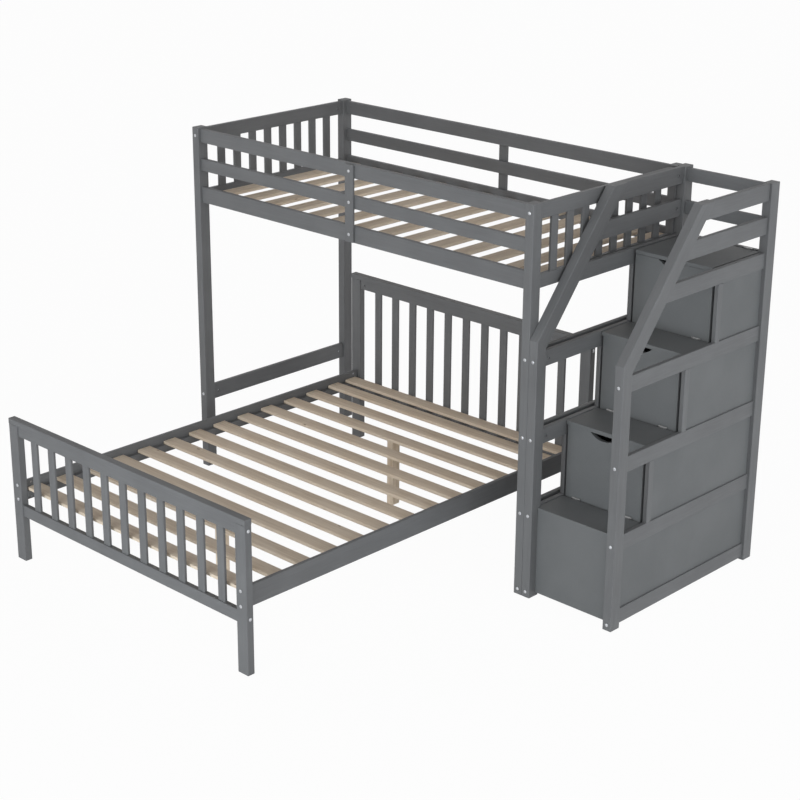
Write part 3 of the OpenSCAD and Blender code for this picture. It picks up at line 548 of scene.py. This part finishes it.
hingeSettings = {"leafLength": 40 * mm, "leafThickness": 2 * mm, "gap": 8 * mm}
fixedSpots = []
for k in range(1, 5):
    leafLow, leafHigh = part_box(f"moving_leaves_{k}")
    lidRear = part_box("platform_lid" if k == 4 else f"step_lid_{k}")[1].y
    movingFace = lidRear + hingeSettings["leafThickness"]
    fixedFace = lidRear + hingeSettings["gap"] - hingeSettings["leafThickness"]
    lidSpots = hingeScrewSpots(leafLow, leafHigh, hingeSettings["leafLength"], movingFace)
    makeScrews(f"lidScrews{k}", lidSpots, screwSettings["hingeHead"], -90, f"lid_{k}", "hinge",
               20 + k)
    fixedSpots += hingeScrewSpots(leafLow, leafHigh, hingeSettings["leafLength"], fixedFace)
makeScrews("fixedLeafScrews", fixedSpots, screwSettings["hingeHead"], 90, "frame", "hinge",
           31)


# one screw at each end of each slat
def slatScrewSpots(node, across, pitch):
    low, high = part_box(node)
    along = 1 - across
    spots = []
    for edge in slatEdges(node, across, pitch):
        for end in (low[along] + screwSettings["slatInset"], high[along] - screwSettings["slatInset"]):
            spot = [0, 0, high.z]
            spot[across] = edge + slatSettings["width"] / 2
            spot[along] = end
            spots.append(spot)
    return spots


slatSpots = (slatScrewSpots("loft_slats", 0, slatSettings["loftPitch"])
             + slatScrewSpots("bed_slats", 1, slatSettings["bedPitch"]))
makeScrews("slatScrews", slatSpots, screwSettings["slatHead"], 0, "frame", "zinc", 41)
print("screws made:", len(slatSpots), "in the slats,", 2 * len(fixedSpots), "in the hinges")


floorSettings = {"size": 60, "colour": (0.92, 0.92, 0.92), "white": 0.965}


# the floor keeps a faint shadow and reads white to the camera
def makeFloor(settings):
    half = settings["size"] / 2
    mesh = bpy.data.meshes.new("floor")
    corners = [(-half, -half, 0), (half, -half, 0), (half, half, 0), (-half, half, 0)]
    mesh.from_pydata(corners, [], [(0, 1, 2, 3)])
    floor = bpy.data.objects.new("floor", mesh)
    scene.collection.objects.link(floor)
    paper = newFinish("floorPaper")
    matt = paper.add("ShaderNodeBsdfDiffuse", {}, {"Color": settings["colour"]})
    glow = paper.add("ShaderNodeEmission", {}, {"Strength": 1.0})
    surface = paper.add("ShaderNodeMixShader", {}, {
        0: paper.seenDirectly() * settings["white"], 1: matt, 2: glow})
    paper.add("ShaderNodeOutputMaterial", {}, {"Surface": surface})
    mesh.materials.append(paper.owner)


worldSettings = {
    "horizon": 0.66,
    "zenith": 0.0,
    "window": (0.72, -0.69, 0.08),
    "lift": 0.78,
    "warm": (1.05, 0.970, 0.960),
    "cool": (0.98, 1.0, 1.01),
}


# a dim dome that brightens towards the horizon, with broad window light from the viewer's side
def makeWorld(settings):
    scene.world = bpy.data.worlds.new("studio")
    sky = Shading(scene.world)
    direction = sky.add("ShaderNodeTexCoord", output="Generated")
    up = sky.add("ShaderNodeSeparateXYZ", {}, {0: direction}, "Z")
    facing = sky.add("ShaderNodeVectorMath", {"operation": "DOT_PRODUCT"},
                     {0: direction, 1: settings["window"]}, "Value")
    window = sky.spread(facing, 0.1, 0.95)
    dome = sky.spread(up, 0.0, 1.0, settings["horizon"], settings["zenith"])
    dim = sky.add("ShaderNodeBackground", {}, {
        "Color": sky.blend(window, settings["warm"], settings["cool"]),
        "Strength": dome + window * settings["lift"]})
    white = sky.add("ShaderNodeBackground", {}, {"Color": (1, 1, 1)})
    surface = sky.add("ShaderNodeMixShader", {}, {0: sky.seenDirectly(), 1: dim, 2: white})
    sky.add("ShaderNodeOutputWorld", {}, {"Surface": surface})


lampSettings = {
    "frontLamp": {"place": (0.8, -5.4, 0.8), "aim": (0.8, 0.0, 0.3), "size": 1.6, "power": 86},
    "sideLamp": {"place": (4.6, 0.4, 1.2), "aim": (1.2, 0.4, 0.8), "size": 2.0, "power": 32.5},
}
lampTint = (0.93, 1.0, 1.05)


def makeLamp(name, settings):
    data = bpy.data.lights.new(name, "AREA")
    data.shape = "SQUARE"
    data.size = settings["size"]
    data.energy = settings["power"]
    data.color = lampTint
    lamp = bpy.data.objects.new(name, data)
    lamp.visible_camera = False
    away = Vector(settings["place"]) - Vector(settings["aim"])
    turn = away.to_track_quat("Z", "Y").to_matrix().to_4x4()
    lamp.matrix_world = Matrix.Translation(settings["place"]) @ turn
    scene.collection.objects.link(lamp)


makeFloor(floorSettings)
makeWorld(worldSettings)
for lampName, settings in lampSettings.items():
    makeLamp(lampName, settings)
scene.view_settings.view_transform = "Standard"
print("studio made")

print("all pieces made")
